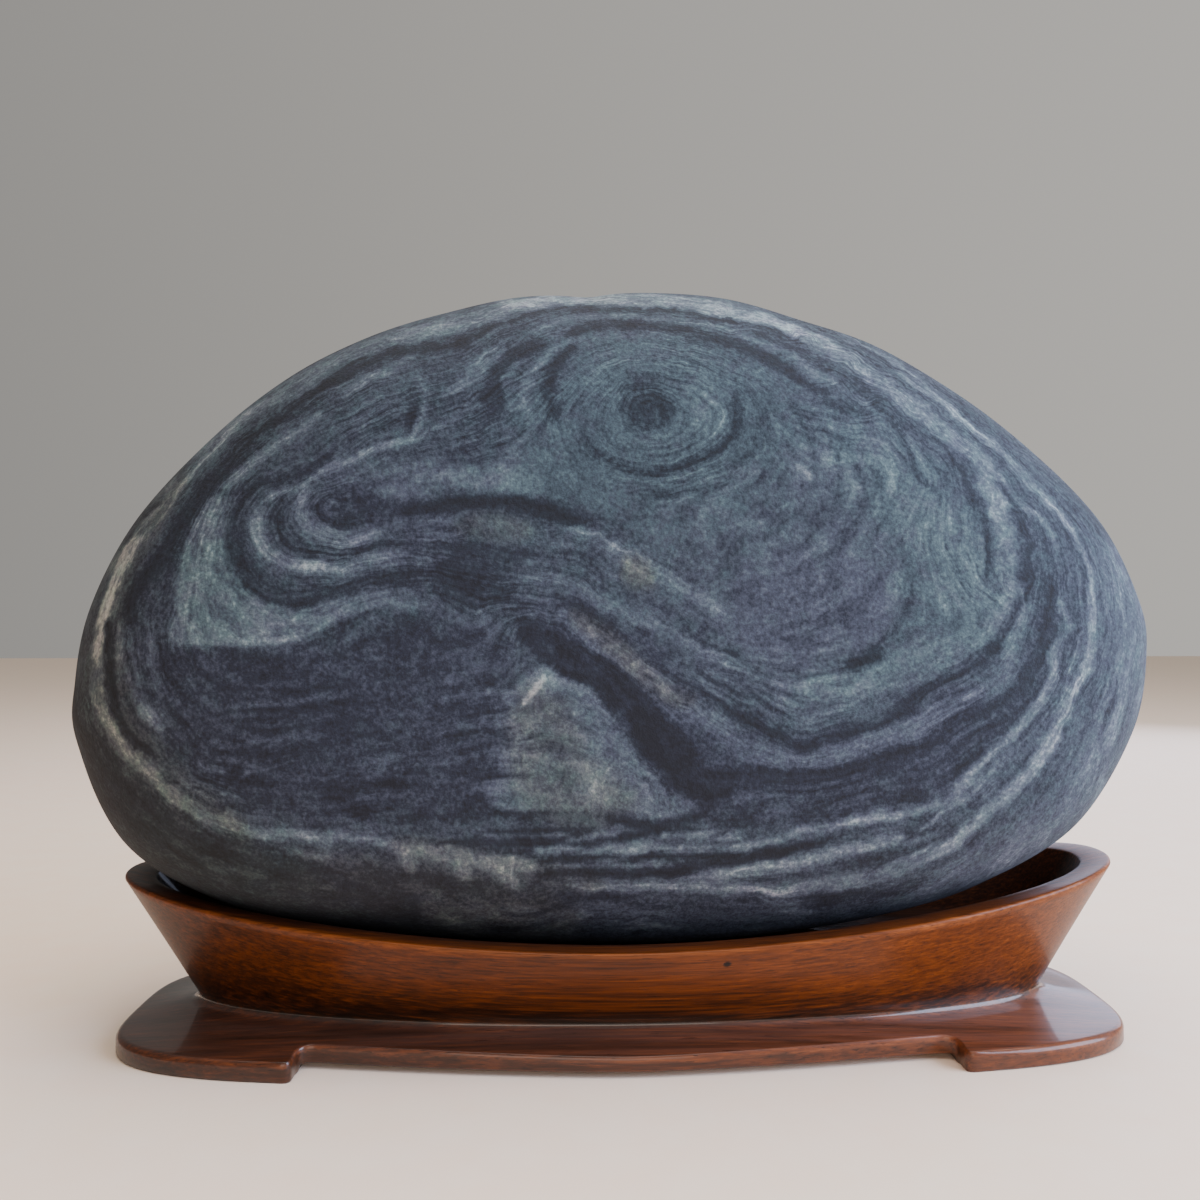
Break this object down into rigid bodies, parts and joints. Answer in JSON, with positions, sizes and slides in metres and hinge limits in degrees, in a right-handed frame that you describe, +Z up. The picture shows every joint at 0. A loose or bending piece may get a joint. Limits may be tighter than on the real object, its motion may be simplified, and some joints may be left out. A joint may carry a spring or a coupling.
{
  "type": "river painting stone on a carved wooden stand",
  "caption": "Smooth flattened river cobble with ink-like banding, seated in a boat-shaped carved hardwood tray stand with broad end feet.",
  "frame": {"origin": "on the surface the stand rests on, under the middle of the whole object's outline", "axes": "+X along the stone's width to the viewer's right, +Y away from the viewer through the stone's thickness, +Z up"},
  "size_m": [0.3905, 0.136, 0.27],
  "materials": {
    "stone": "water-worn, matt, fine-grained dark slate grey with pale banding",
    "wood": "dark red-brown hardwood, satin wax polish"
  },
  "bodies": {
    "root": {"stone": "stone", "stand": "wood"}
  },
  "joints": []
}
